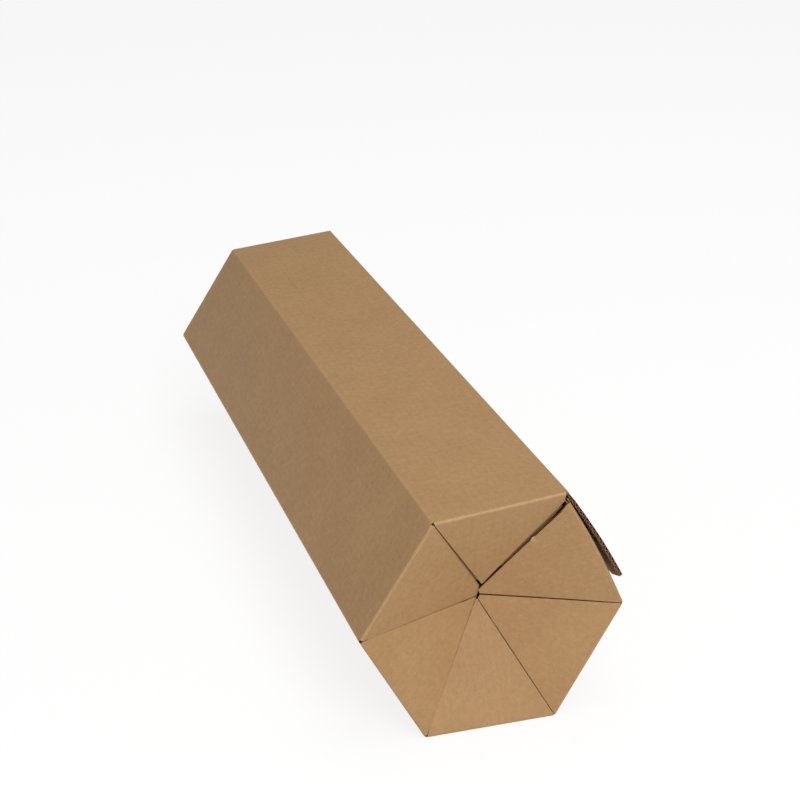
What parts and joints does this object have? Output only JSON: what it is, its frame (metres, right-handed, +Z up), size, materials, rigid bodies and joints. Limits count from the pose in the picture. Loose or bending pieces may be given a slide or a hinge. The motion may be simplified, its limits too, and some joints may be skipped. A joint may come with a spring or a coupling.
{
  "type": "hexagonal shipping box",
  "caption": "Long hexagonal shipping box folded from brown corrugated board, with recessed folded ends and a long closing flap that stands slightly open.",
  "frame": {"origin": "middle of the base panel's outer face, half way along the box", "axes": "+X across the box towards the side with the closing flap, +Y along the box from the near end to the far end, +Z up from the base panel"},
  "size_m": [0.1357, 0.43, 0.1194],
  "materials": {
    "kraft_board": "matt unbleached kraft liner"
  },
  "bodies": {
    "body": {"hex_body": "kraft_board"},
    "flap": {"closing_flap": "kraft_board"}
  },
  "joints": [
    {"name": "closing_flap_crease", "type": "hinge", "parent": "body", "child": "flap", "pos_m": [0.03672, 0, 0.11858], "axis": [0, -1, 0], "range_deg": [-3.5, 120]}
  ]
}
